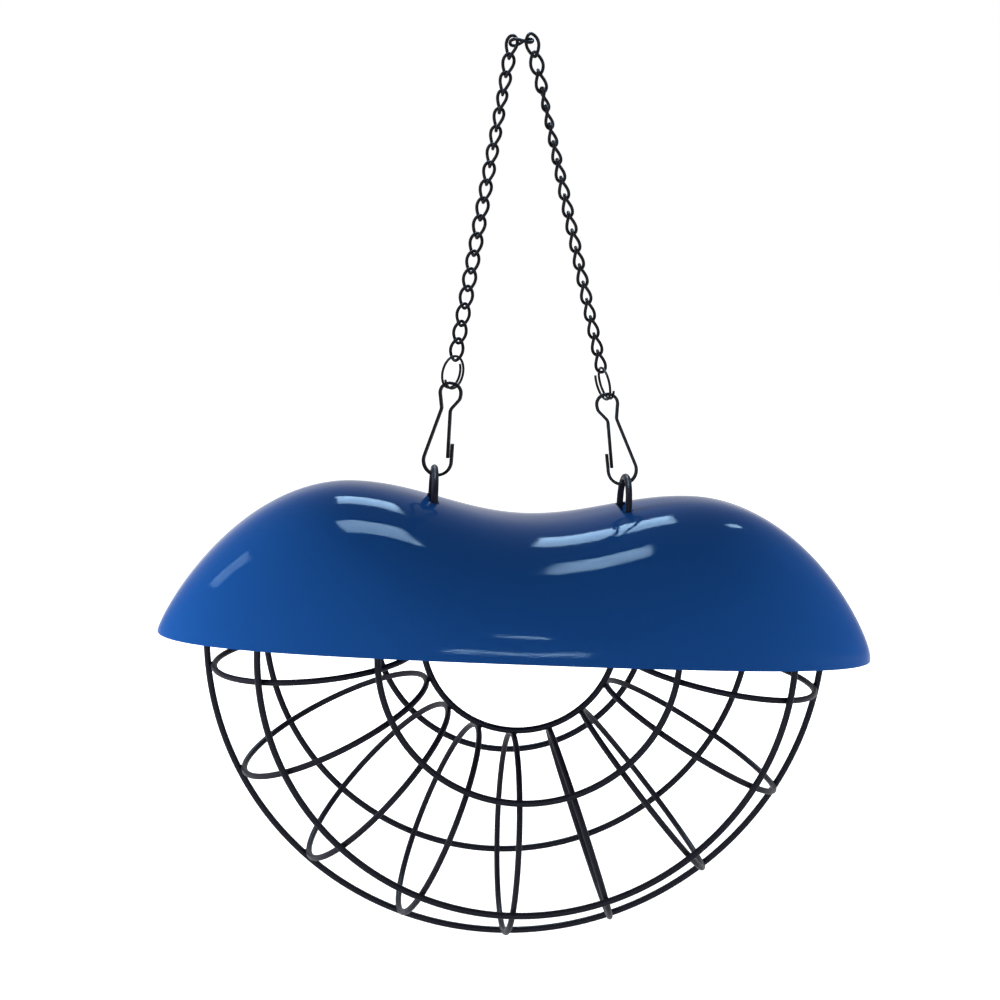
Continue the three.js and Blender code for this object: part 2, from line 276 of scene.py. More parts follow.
class ChainSettings(bpy.types.PropertyGroup):
    """Sizes of the chain"""

    link: length("Link length", "Outside length of a link", 0.00985)
    width: length("Link width", "Outside width of a link", 0.006)
    wire: length("Link wire", "Thickness of a link's bare wire", 0.0012)
    film: length("Film", "Thickness of the black finish on a link", 0.000035)
    play: length("Play", "Between two links", 0.00062)
    twist: angle("Twist", "Twist of a link from end to end", 90)
    top_roll: angle("Top roll", "Turn of the top link from facing the front", 84)
    top_slope: angle("Top slope", "Slope of the top link in the feeder", 10)


class StageSettings(bpy.types.PropertyGroup):
    """Floor, light and camera"""

    drop: length("Floor drop", "Floor under the feeder's lowest point", 0.30)
    floor: color("Floor", "Colour of the floor", (0.86, 0.86, 0.86))
    floor_radius: length("Floor radius", "Radius of the floor", 12)
    glow_start: length("Glow start", "Distance from the top link where the floor's glow begins to grow", 0.8)
    glow_end: length("Glow end", "Distance from the top link where the floor's glow is full", 1.6)
    least_glow: share("Least glow", "Share of the full glow under the feeder", 0.35)
    even_light: number("Even light", "Strength of the light from all round", 0.06)
    panel_tint: color("Panel tint", "Colour of the panels that the enamel mirrors", (0.46, 0.73, 1.0))
    camera: position("Camera", "Where the camera stands", (-0.0717, -0.6742, -0.0651))
    target: position("Target", "What the camera looks at", (-0.0096, -0.0020, -0.1752))
    camera_roll: angle("Camera roll", "Turn of the camera about its view", -0.43)
    lens: FloatProperty(name="Lens", description="Focal length of the camera", default=62.66, unit="CAMERA")


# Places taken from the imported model


def cage_place(cage):
    """The cage's own frame, at its centre and upright along the roof's lift."""
    up = Vector(JOINTS["roof_lift"]["axis"]).normalized()
    # The fifth hoop is the lowest
    low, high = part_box("hoop_5")
    middle = (low + high) / 2 + up * cage.tunnel
    return axes_at(middle, up)


def axes_at(place, up):
    """A frame at a place, upright along up and square to the front."""
    across = Vector((up.z, 0, -up.x))
    turn = Matrix((across, BACK, up)).transposed().to_4x4()
    return Matrix.Translation(place) @ turn


def split_height(hooks):
    """Height of a split ring's middle over its hook's lowest wire."""
    return hooks.height - hooks.split_play - hooks.wire / 2 - hooks.split_wire + hooks.split / 2


def strand_place(side, hooks, chain):
    """A strand's frame at the hook's lowest wire, and the heights of its first and last links' lower ends."""
    first = Vector(JOINTS[side + "_chain_swing"]["pos_m"])
    last = Vector(JOINTS[side + "_hook_tilt"]["pos_m"])
    up = (first - last).normalized()
    low = split_height(hooks) + hooks.split / 2 - hooks.split_wire - chain.wire / 2 - chain.play
    high = low + (first - last).length
    return axes_at(last - up * low, up), high, low


def roof_seat(place):
    """Height of the roof's tips in the cage's frame."""
    inverse = place.inverted()
    return min((inverse @ vertex.co).z for vertex in frame["nodes"]["roof"].data.vertices)


def hoop_turns(cage):
    """Each hoop's name and its angle from the lowest point."""
    names = sorted(name for name in frame["nodes"] if name.startswith("hoop_"))
    lowest = (len(names) - 1) / 2
    return {name: cage.hoop_step * (index - lowest) for index, name in enumerate(names)}


def ring_angles(cage):
    """Each ring's name and its angle round the tunnel, from the outermost ring."""
    steps = (0, cage.outer_pair, cage.inner_pair, math.pi)
    return {name: math.copysign(steps[abs(step)], step) for name, step in CAGE_RINGS.items()}


def ring_radius(cage):
    """From the middle of the tunnel to the rings that lie on its hoops."""
    return cage.hoop + (cage.hoop_wire + cage.ring_wire) / 2 + cage.weld


# Wire bending


def edges_of(verts):
    """The edges whose two ends are both among the vertices, each once and in order."""
    chosen = set(verts)
    linked = [edge for vert in verts for edge in vert.link_edges if set(edge.verts) <= chosen]
    return list(dict.fromkeys(linked))


def verts_of(edges):
    """The ends of the edges, each once and in order."""
    return list(dict.fromkeys(vert for edge in edges for vert in edge.verts))


def rotate(bm, verts, turn, axis):
    """Turns vertices about an axis through the origin, X, Y or Z."""
    bmesh.ops.rotate(bm, verts=verts, cent=ORIGIN, matrix=Matrix.Rotation(turn, 3, axis))


def round_section(bm, wire, sides):
    """A round wire's end at the origin, facing +Z."""
    made = bmesh.ops.create_circle(bm, cap_ends=False, segments=sides, radius=wire / 2)
    return edges_of(made["verts"])


def flat_section(bm, thickness, depth, corner):
    """A flat wire's end at the origin with rounded corners, facing +Z and wide along Y."""
    # A square with sides of one
    verts = bmesh.ops.create_circle(bm, cap_ends=False, segments=4, radius=math.sqrt(0.5))["verts"]
    rotate(bm, verts, math.pi / 4, "Z")
    bmesh.ops.scale(bm, verts=verts, vec=(thickness, depth, 1))
    bmesh.ops.bevel(
        bm, geom=verts, offset=corner, segments=3, profile=0.5, affect="VERTICES", material=-1
    )
    return list(bm.edges)


def face_wire(bm, edges, start, ahead):
    """Brings a wire's end from the origin to its start, facing ahead, with its Y to the back."""
    ahead = ahead.normalized()
    side = (BACK - ahead * BACK.dot(ahead)).normalized()
    turn = Matrix((side.cross(ahead), side, ahead)).transposed().to_4x4()
    bmesh.ops.transform(bm, matrix=Matrix.Translation(start) @ turn, verts=verts_of(edges))


def feed(bm, edges, step):
    """Pushes a wire's end straight on and returns the new end."""
    made = bmesh.ops.extrude_edge_only(bm, edges=edges)["geom"]
    verts = [item for item in made if isinstance(item, bmesh.types.BMVert)]
    bmesh.ops.translate(bm, verts=verts, vec=step)
    return edges_of(verts)


def bend(bm, edges, middle, axis, turn, steps, climb=ORIGIN):
    """Bends a wire's end round an axis, climbing at each step, and returns the new end."""
    made = bmesh.ops.spin(
        bm, geom=edges, cent=middle, axis=axis, dvec=climb, angle=turn, steps=steps,
        use_merge=False, use_duplicate=False,
    )["geom_last"]
    return [item for item in made if isinstance(item, bmesh.types.BMEdge)]


def spin_closed(bm, geometry, axis, steps):
    """Spins geometry once round the origin and joins the last step to the first."""
    bmesh.ops.spin(
        bm, geom=geometry, cent=ORIGIN, axis=axis, dvec=ORIGIN, angle=FULL_TURN, steps=steps,
        use_merge=True, use_duplicate=False,
    )


def cut_end(bm, edges, ahead, wire):
    """Closes a wire's end with a small rounded cut."""
    for reach, size in CUT_STEPS:
        edges = feed(bm, edges, ahead * (wire * reach))
        verts = verts_of(edges)
        middle = sum((vert.co for vert in verts), Vector()) / len(verts)
        bmesh.ops.scale(bm, verts=verts, vec=(size, size, size), space=Matrix.Translation(-middle))
    bmesh.ops.edgeloop_fill(bm, edges=edges)


def bent_wire(bm, start, corners, wire):
    """Brings a wire's end to the first of the corners, given as (point, bend radius), feeds and bends
    it along the others, and closes both ends."""
    points = [Vector(point) for point, radius in corners]
    first_way = (points[1] - points[0]).normalized()
    face_wire(bm, start, points[0], first_way)
    end, reached, ahead = start, points[0], first_way
    for i in range(1, len(points) - 1):
        onward = (points[i + 1] - points[i]).normalized()
        turn = ahead.angle(onward)
        radius = corners[i][1]
        reach = radius * math.tan(turn / 2)
        before = points[i] - ahead * reach
        end = feed(bm, end, before - reached)
        axis = ahead.cross(onward).normalized()
        middle = before + axis.cross(ahead) * radius
        end = bend(bm, end, middle, axis, turn, max(FEWEST_STEPS, math.ceil(turn / BEND_STEP)))
        reached = points[i] + onward * reach
        ahead = onward
    end = feed(bm, end, points[-1] - reached)
    cut_end(bm, end, ahead, wire)
    cut_end(bm, start, -first_way, wire)


# Pieces


def add_piece(name, bm, place, material, body, nodes=(), sharp=40):
    """Makes a mesh in its place, riding on a body and standing for its nodes. It is smooth, apart
    from edges over sharp degrees."""
    bmesh.ops.transform(bm, matrix=place, verts=bm.verts[:])
    bmesh.ops.remove_doubles(bm, verts=bm.verts[:], dist=1e-7)
    bmesh.ops.recalc_face_normals(bm, faces=bm.faces[:])
    mesh = bpy.data.meshes.new(name)
    bm.to_mesh(mesh)
    bm.free()
    mesh.materials.append(material)
    mesh.shade_smooth()
    mesh.set_sharp_from_angle(angle=math.radians(sharp))
    piece = bpy.data.objects.new(name, mesh)
    bpy.context.scene.collection.objects.link(piece)
    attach(piece, body)
    if nodes:
        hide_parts(*nodes)
    return piece


def set_in_tunnel(bm, verts, cage, turn):
    """Moves what was made round the origin into the tunnel, at an angle from the lowest point."""
    bmesh.ops.translate(bm, verts=verts, vec=(cage.tunnel, 0, 0))
    rotate(bm, verts, math.pi / 2 - turn, "Y")


def hoop_mesh(bm, cage, turn):
    """One hoop of the ball tunnel, in an empty mesh."""
    edges = round_section(bm, cage.hoop_wire + 2 * cage.film, WIRE_SIDES)
    verts = verts_of(edges)
    rotate(bm, verts, math.pi / 2, "X")
    bmesh.ops.translate(bm, verts=verts, vec=(cage.hoop, 0, 0))
    spin_closed(bm, edges, UP, HOOP_STEPS)
    set_in_tunnel(bm, bm.verts[:], cage, turn)


class RoofShape:
    """The roof's surface, as heights over the tips of its rim"""

    def __init__(self, roof):
        self.roof = roof

    def ridge(self, x):
        """Height of the ridge, from the saddle over a hump to a tip."""
        roof = self.roof
        reach = abs(x)
        if reach < roof.hump_place:
            rise = (1 - math.cos(math.pi * reach / roof.hump_place)) / 2
            return roof.saddle + (roof.hump - roof.saddle) * rise
        fall = min(1, (reach - roof.hump_place) / (roof.span / 2 - roof.hump_place))
        return roof.hump * (1 - fall**roof.end_power) ** (1 / roof.end_round)

    def height(self, x, y):
        """Height of the skin, which arches from the rim to the ridge."""
        roof = self.roof
        reach = min(1, abs(x) / (roof.span / 2))
        breadth = roof.depth / 2 * (1 - reach**roof.plan_power) ** (1 / roof.plan_power)
        rim = roof.rim_arch * (1 - reach**roof.plan_power)
        across = abs(y) / breadth if breadth > RIM_EDGE else 1
        dome = 0
        if across < 1 - RIM_EDGE:
            dome = (1 - across**roof.section_power) ** (1 / roof.section_power)
        return rim + (max(rim, self.ridge(x)) - rim) * dome

    def spread(self, value):
        """A sine or cosine, squared off as the outline is."""
        return math.copysign(abs(value) ** (2 / self.roof.plan_power), value)


def roll_at(stops, link):
    """Turn of a link about its strand, between the stops."""
    for (start, low), (end, high) in zip(stops, stops[1:]):
        if link <= end:
            return math.radians(low + (high - low) * (link - start) / (end - start))
    raise ValueError("The strand has more links than its stops")


def link_half(chain):
    """From a link's middle to the middle of the wire at its end."""
    return (chain.link - chain.wire) / 2


def link_point(chain, around):
    """A point of a link's middle line, which is an oval twisted about its length."""
    turn = chain.twist / 2 * math.sin(around)
    across = (chain.width - chain.wire) / 2 * math.cos(around)
    return Vector((across * math.cos(turn), across * math.sin(turn), link_half(chain) * math.sin(around)))


def link_mesh(bm, chain):
    """A chain link: a torus drawn out to an oval and twisted about its length."""
    edges = round_section(bm, 1, LINK_SIDES)
    bmesh.ops.translate(bm, verts=verts_of(edges), vec=(TORUS, 0, 0))
    spin_closed(bm, edges, BACK, LINK_STEPS)
    wire = chain.wire + 2 * chain.film
    for vert in bm.verts:
        around = math.atan2(vert.co.z, vert.co.x)
        out = math.hypot(vert.co.x, vert.co.z) - TORUS
        middle = link_point(chain, around)
        ahead = link_point(chain, around + LINK_NEAR) - link_point(chain, around - LINK_NEAR)
        ahead.normalize()
        outward = (middle - ahead * middle.dot(ahead)).normalized()
        side = ahead.cross(outward)
        vert.co = middle + (outward * out - side * vert.co.y) * wire


# Materials


def add_node(nodes, kind, **values):
    """Adds a node and sets its inputs, named with _ for each space."""
    node = nodes.new(kind)
    for name, value in values.items():
        node.inputs[name.replace("_", " ")].default_value = value
    return node


def grain_group():
    """Fine grain of a coating: a height, a roughness and a tone that change over the surface."""
    name = "coating_grain"
    if name in bpy.data.node_groups:
        return bpy.data.node_groups[name]
    group = bpy.data.node_groups.new(name, "ShaderNodeTree")
    interface = group.interface
    interface.new_socket("Vector", in_out="INPUT", socket_type="NodeSocketVector")
    for label in ("Grain Size", "Cloud Size", "Smoothest", "Roughest"):
        interface.new_socket(label, in_out="INPUT", socket_type="NodeSocketFloat")
    for label in ("Height", "Roughness", "Tone"):
        interface.new_socket(label, in_out="OUTPUT", socket_type="NodeSocketFloat")
    nodes, links = group.nodes, group.links
    given = nodes.new("NodeGroupInput").outputs
    result = nodes.new("NodeGroupOutput").inputs
    grain = add_node(nodes, "ShaderNodeTexNoise", Detail=3)
    cloud = add_node(nodes, "ShaderNodeTexNoise", Detail=5, Roughness=0.6)
    both = add_node(nodes, "ShaderNodeMix", Factor=0.6)
    spread = add_node(nodes, "ShaderNodeMapRange", From_Min=0.3, From_Max=0.7)
    links.new(given["Vector"], grain.inputs["Vector"])
    links.new(given["Vector"], cloud.inputs["Vector"])
    links.new(given["Grain Size"], grain.inputs["Scale"])
    links.new(given["Cloud Size"], cloud.inputs["Scale"])
    links.new(cloud.outputs["Fac"], both.inputs["A"])
    links.new(grain.outputs["Fac"], both.inputs["B"])
    links.new(both.outputs["Result"], spread.inputs["Value"])
    links.new(given["Smoothest"], spread.inputs["To Min"])
    links.new(given["Roughest"], spread.inputs["To Max"])
    links.new(grain.outputs["Fac"], result["Height"])
    links.new(spread.outputs["Result"], result["Roughness"])
    links.new(cloud.outputs["Fac"], result["Tone"])
    return group


def grained_material(name, thin, deep, ior, bump, bump_depth, grain):
    """A coated surface with grain, clouded roughness and two tones of one colour."""
    if name in bpy.data.materials:
        return bpy.data.materials[name]
    material = bpy.data.materials.new(name)
    material.use_nodes = True
    nodes, links = material.node_tree.nodes, material.node_tree.links
    shader = nodes["Principled BSDF"]
    shader.inputs["IOR"].default_value = ior
    place = nodes.new("ShaderNodeTexCoord")
    coating = nodes.new("ShaderNodeGroup")
    coating.node_tree = grain_group()
    for label, value in grain.items():
        coating.inputs[label].default_value = value
    tone = nodes.new("ShaderNodeMix")
    tone.data_type = "RGBA"
    tone.inputs["A"].default_value = (*deep, 1)
    tone.inputs["B"].default_value = (*thin, 1)
    relief = add_node(nodes, "ShaderNodeBump", Strength=bump, Distance=bump_depth)
    links.new(place.outputs["Object"], coating.inputs["Vector"])
    links.new(coating.outputs["Tone"], tone.inputs["Factor"])
    links.new(tone.outputs["Result"], shader.inputs["Base Color"])
    links.new(coating.outputs["Roughness"], shader.inputs["Roughness"])
    links.new(coating.outputs["Height"], relief.inputs["Height"])
    links.new(relief.outputs["Normal"], shader.inputs["Normal"])
    return material


def paler(tone, gain):
    """A lighter tone of a black finish."""
    return [value * gain + PALE_START for value in tone]


def blue_enamel(roof):
    """Glossy royal blue enamel with a faint orange peel. Its index of refraction is low, because the
    white surround would wash out the blue."""
    grain = {"Grain Size": 1400, "Cloud Size": 22, "Smoothest": 0.02, "Roughest": 0.06}
    return grained_material(
        "blue_enamel", roof.enamel, roof.enamel_deep, ior=1.07, bump=0.12, bump_depth=0.0001, grain=grain
    )


def black_coating(cage):
    """Satin black powder coating of the cage's wires."""
    grain = {"Grain Size": 1600, "Cloud Size": 60, "Smoothest": 0.36, "Roughest": 0.50}
    return grained_material(
        "black_coating", paler(cage.coat, 2.2), cage.coat, ior=1.12, bump=0.10, bump_depth=0.0002, grain=grain
    )


def black_plating(hooks):
    """Black plating of the hooks, split rings and chain."""
    dark = hooks.plating
    grain = {"Grain Size": 2200, "Cloud Size": 140, "Smoothest": 0.30, "Roughest": 0.46}
    return grained_material(
        "black_plating", paler(dark, 2), dark, ior=1.12, bump=0.08, bump_depth=0.00015, grain=grain
    )


# Operators


class FEEDER_OT_rings(bpy.types.Operator):
    """Bends the six rings that run along the ball tunnel"""

    bl_idname = "feeder.rings"
    bl_label = "Cage Rings"
    bl_options = {"REGISTER", "UNDO"}

    def execute(self, context):
        cage = context.scene.feeder_cage
        coat = black_coating(cage)
        place = cage_place(cage)
        for name, around in ring_angles(cage).items():
            radius = cage.tunnel + ring_radius(cage) * math.cos(around)
            depth = -ring_radius(cage) * math.sin(around)
            reach = cage.mouth + (cage.hoop_wire / 2 + cage.tail) / radius
            bm = bmesh.new()
            start = round_section(bm, cage.ring_wire + 2 * cage.film, WIRE_SIDES)
            face_wire(bm, start, (0, depth, -radius), Vector((-1, 0, 0)))
            rotate(bm, bm.verts[:], reach, "Y")
            end = bend(bm, start, ORIGIN, BACK, -2 * reach, RING_STEPS)
            for edges, way in ((start, -1), (end, 1)):
                ahead = Matrix.Rotation(-way * reach, 3, "Y") @ Vector((way, 0, 0))
                cut_end(bm, edges, ahead, cage.ring_wire)
            add_piece(name + "_wire", bm, place, coat, "cage", [name])
        return {"FINISHED"}


class FEEDER_OT_hoops(bpy.types.Operator):
    """Makes the hoops of the ball tunnel"""

    bl_idname = "feeder.hoops"
    bl_label = "Cage Hoops"
    bl_options = {"REGISTER", "UNDO"}

    def execute(self, context):
        cage = context.scene.feeder_cage
        coat = black_coating(cage)
        place = cage_place(cage)
        for name, turn in hoop_turns(cage).items():
            bm = bmesh.new()
            hoop_mesh(bm, cage, turn)
            add_piece(name + "_wire", bm, place, coat, "cage", [name])
        return {"FINISHED"}


class FEEDER_OT_welds(bpy.types.Operator):
    """Sets a small weld bead at each crossing of a ring and a hoop"""

    bl_idname = "feeder.welds"
    bl_label = "Weld Beads"
    bl_options = {"REGISTER", "UNDO"}

    def execute(self, context):
        cage = context.scene.feeder_cage
        reach = cage.hoop + cage.hoop_wire / 2 + cage.weld / 2
        bm = bmesh.new()
        for turn in (*hoop_turns(cage).values(), -cage.mouth, cage.mouth):
            for around in ring_angles(cage).values():
                bead = bmesh.ops.create_icosphere(bm, subdivisions=2, radius=1)["verts"]
                bmesh.ops.scale(bm, verts=bead, vec=(cage.bead_rise, cage.bead, cage.bead))
                bmesh.ops.translate(bm, verts=bead, vec=(reach, 0, 0))
                rotate(bm, bead, -around, "Z")
                set_in_tunnel(bm, bead, cage, turn)
        add_piece("weld_beads", bm, cage_place(cage), black_coating(cage), "cage")
        return {"FINISHED"}


class FEEDER_OT_roof(bpy.types.Operator):
    """Presses the roof's sheet, cuts its slots and enamels it"""

    bl_idname = "feeder.roof"
    bl_label = "Roof"
    bl_options = {"REGISTER", "UNDO"}

    def execute(self, context):
        roof, hanger = context.scene.feeder_roof, context.scene.feeder_hanger
        place = cage_place(context.scene.feeder_cage)
        seat = roof_seat(place)
        bm = bmesh.new()
        self.press(bm, roof)
        on_seat = place @ Matrix.Translation((0, 0, seat))
        piece = add_piece("roof_sheet", bm, on_seat, blue_enamel(roof), "roof", ["roof"], sharp=50)
        for hand in SIDES.values():
            slot = Matrix.Translation((hand * hanger.span / 2, 0, seat + roof.saddle))
            self.cut_slot(context, piece, place @ slot, roof, hanger)
        return {"FINISHED"}

    def press(self, bm, roof):
        """The outer skin, raised from a flat disc, and the sheet's thickness under it."""
        shape = RoofShape(roof)
        tip = bmesh.ops.create_vert(bm, co=ORIGIN)["vert"][0]
        ray = [tip]
        for i in range(1, roof.rings + 1):
            made = bmesh.ops.extrude_vert_indiv(bm, verts=[tip])
            tip = made["verts"][0]
            # The rings lie closer together towards the rim
            tip.co = (math.sin(math.pi / 2 * i / roof.rings), 0, 0)
            ray += [tip, made["edges"][0]]
        spin_closed(bm, ray, UP, roof.rays)
        bmesh.ops.remove_doubles(bm, verts=bm.verts[:], dist=1e-6)
        for vert in bm.verts:
            out = math.hypot(vert.co.x, vert.co.y)
            turn = math.atan2(vert.co.y, vert.co.x)
            x = out * roof.span / 2 * shape.spread(math.cos(turn))
            y = out * roof.depth / 2 * shape.spread(math.sin(turn))
            vert.co = (x, y, shape.height(x, y))
        bmesh.ops.recalc_face_normals(bm, faces=bm.faces[:])
        highest = max(bm.faces, key=lambda face: face.calc_center_median().z)
        if highest.normal.z < 0:
            bmesh.ops.reverse_faces(bm, faces=bm.faces[:])
        bmesh.ops.solidify(bm, geom=bm.faces[:], thickness=roof.sheet)

    def cut_slot(self, context, piece, place, roof, hanger):
        """Cuts one long slot through the sheet for a hanger's loop."""
        bm = bmesh.new()
        edges = round_section(bm, hanger.wire + 2 * roof.slot_gap, SLOT_SIDES)
        for vert in bm.verts:
            vert.co.y += math.copysign(hanger.width / 2, vert.co.y)
        bmesh.ops.edgeloop_fill(bm, edges=edges)
        made = bmesh.ops.extrude_face_region(bm, geom=bm.faces[:])["geom"]
        raised = [item for item in made if isinstance(item, bmesh.types.BMVert)]
        bmesh.ops.translate(bm, verts=raised, vec=(0, 0, PUNCH))
        bmesh.ops.translate(bm, verts=bm.verts[:], vec=(0, 0, -PUNCH / 2))
        bmesh.ops.transform(bm, matrix=place, verts=bm.verts[:])
        bmesh.ops.recalc_face_normals(bm, faces=bm.faces[:])
        mesh = bpy.data.meshes.new("slot_punch")
        bm.to_mesh(mesh)
        bm.free()
        punch = bpy.data.objects.new("slot_punch", mesh)
        context.scene.collection.objects.link(punch)
        cut = piece.modifiers.new("slot", "BOOLEAN")
        cut.operation = "DIFFERENCE"
        cut.solver = "EXACT"
        cut.object = punch
        context.view_layer.update()
        uncut = piece.data
        finished = piece.evaluated_get(context.evaluated_depsgraph_get())
        piece.data = bpy.data.meshes.new_from_object(finished)
        piece.modifiers.clear()
        bpy.data.objects.remove(punch)
        bpy.data.meshes.remove(mesh)
        bpy.data.meshes.remove(uncut)


class FEEDER_OT_hangers(bpy.types.Operator):
    """Bends each mouth's hoop and the loop that goes up through the roof"""

    bl_idname = "feeder.hangers"
    bl_label = "Hangers"
    bl_options = {"REGISTER", "UNDO"}

    def execute(self, context):
        cage, hanger = context.scene.feeder_cage, context.scene.feeder_hanger
        coat = black_coating(cage)
        place = cage_place(cage)
        half = hanger.width / 2
        top_bend = half * hanger.top_round
        # Where the legs meet the hoop, as its distance from the cage's centre
        inset = cage.tunnel - math.sqrt(cage.hoop**2 - half**2)
        weld_height = -inset * math.cos(cage.mouth)
        weld_place = inset * math.sin(cage.mouth) - (cage.hoop_wire + hanger.wire) / 2 + hanger.weld_depth
        ridge = RoofShape(context.scene.feeder_roof).ridge(hanger.span / 2)
        top = roof_seat(place) + ridge + hanger.stand - hanger.wire / 2
        for side, hand in SIDES.items():
            x, foot_x = hand * hanger.span / 2, hand * weld_place
            corners = [
                ((foot_x, -half, weld_height - hanger.foot), 0),
                ((x, -half, top - hanger.neck), hanger.bend),
                ((x, -half, top), top_bend),
                ((x, half, top), top_bend),
                ((x, half, top - hanger.neck), hanger.bend),
                ((foot_x, half, weld_height - hanger.foot), 0),
            ]
            bm = bmesh.new()
            hoop_mesh(bm, cage, hand * cage.mouth)
            start = round_section(bm, hanger.wire + 2 * hanger.film, WIRE_SIDES)
            bent_wire(bm, start, corners, hanger.wire)
            for y in (-half, half):
                bead = bmesh.ops.create_icosphere(bm, subdivisions=2, radius=hanger.bead)["verts"]
                bmesh.ops.scale(bm, verts=bead, vec=LEG_BEAD)
                bmesh.ops.translate(bm, verts=bead, vec=(foot_x + hand * hanger.wire / 2, y, weld_height))
            name = "hanger_" + side
            add_piece(name + "_wire", bm, place, coat, "cage", [name])
        return {"FINISHED"}


class FEEDER_OT_hooks(bpy.types.Operator):
    """Bends the two snap hooks from flat wire"""

    bl_idname = "feeder.hooks"
    bl_label = "Snap Hooks"
    bl_options = {"REGISTER", "UNDO"}

    def execute(self, context):
        hooks, chain = context.scene.feeder_hooks, context.scene.feeder_chain
        plating = black_plating(hooks)
        for side, turn in zip(SIDES, (hooks.left_turn, hooks.right_turn)):
            bm = bmesh.new()
            start = flat_section(bm, hooks.wire, hooks.depth, hooks.corner)
            bent_wire(bm, start, self.corners(hooks), hooks.wire)
            place = strand_place(side, hooks, chain)[0] @ Matrix.Rotation(turn, 4, "Z")
            name = "hook_" + side
            add_piece(name + "_wire", bm, place, plating, side + "_hook", [name], sharp=50)
        return {"FINISHED"}

    def corners(self, hooks):
        """From the tip round the lower bend, up the back, over the eye and down the spring arm."""
        low, neck, eye = hooks.width / 2, hooks.neck_width / 2, hooks.eye_width / 2
        return [
            ((-hooks.tip_reach, 0, hooks.tip), 0),
            ((-low, 0, 0), hooks.bend),
            ((low, 0, 0), hooks.bend),
            ((neck, 0, hooks.neck), hooks.neck_bend),
            ((eye, 0, hooks.height), hooks.eye_bend),
            ((-eye, 0, hooks.height), hooks.eye_bend),
            ((-eye, 0, hooks.height - hooks.eye_depth), hooks.neck_bend),
            ((-neck, 0, hooks.neck), hooks.neck_bend),
            ((-hooks.arm_reach, 0, hooks.arm), 0),
        ]


class FEEDER_OT_split_rings(bpy.types.Operator):
    """Winds the two split rings"""

    bl_idname = "feeder.split_rings"
    bl_label = "Split Rings"
    bl_options = {"REGISTER", "UNDO"}

    def execute(self, context):
        hooks, chain = context.scene.feeder_hooks, context.scene.feeder_chain
        plating = black_plating(hooks)
        radius = (hooks.split - hooks.split_wire) / 2
        rise = hooks.split_turns * (hooks.split_wire + hooks.split_gap)
        turn = FULL_TURN * hooks.split_turns
        for side, roll in zip(SIDES, (hooks.left_roll, hooks.right_roll)):
            bm = bmesh.new()
            start = round_section(bm, hooks.split_wire, SPLIT_SIDES)
            face_wire(bm, start, (radius, -rise / 2, 0), UP)
            rotate(bm, bm.verts[:], -hooks.split_start, "Y")
            end = bend(bm, start, ORIGIN, -BACK, turn, SPLIT_STEPS, climb=(0, rise / SPLIT_STEPS, 0))
            for edges, around, way in ((start, hooks.split_start, -1), (end, hooks.split_start + turn, 1)):
                ahead = way * Vector((-math.sin(around), 0, math.cos(around)))
                cut_end(bm, edges, ahead, hooks.split_wire)
            strand = strand_place(side, hooks, chain)[0]
            place = strand @ Matrix.Translation((0, 0, split_height(hooks))) @ Matrix.Rotation(roll, 4, "Z")
            name = "split_ring_" + side
            add_piece(name + "_wire", bm, place, plating, side + "_hook", [name])
        return {"FINISHED"}


class FEEDER_OT_chain(bpy.types.Operator):
    """Forms the links of both strands and the top link"""

    bl_idname = "feeder.chain"
    bl_label = "Chain"
    bl_options = {"REGISTER", "UNDO"}

    def execute(self, context):
        hooks, chain = context.scene.feeder_hooks, context.scene.feeder_chain
        plating = black_plating(hooks)
        groups = frame["record"]["behaviour"]["bodies"]
        bodies = {node: body for body, nodes in groups.items() for node in nodes}
        places = {}
        for side in SIDES:
            strand, first, last = strand_place(side, hooks, chain)
            names = sorted(name for name in bodies if name.startswith("link_" + side))
            for index, name in enumerate(names):
                height = first + (last - first) * index / (len(names) - 1) + link_half(chain)
                roll = Matrix.Rotation(roll_at(ROLL_STOPS[side], index + 1), 4, "Z")
                places[name] = strand @ Matrix.Translation((0, 0, height)) @ roll
        places["link_top"] = self.top_place(chain)
        for name, place in places.items():
            bm = bmesh.new()
            link_mesh(bm, chain)
            add_piece(name + "_wire", bm, place, plating, bodies[name], [name])
        return {"FINISHED"}

    def top_place(self, chain):
        """The top link lies across at the origin, sloped from the feeder's lean."""
        up = Vector(JOINTS["roof_lift"]["axis"])
        lean = math.atan2(up.x, up.z)
        lie = Matrix.Rotation(lean + math.pi / 2 - chain.top_slope, 4, "Y")
        return lie @ Matrix.Rotation(chain.top_roll, 4, "Z")


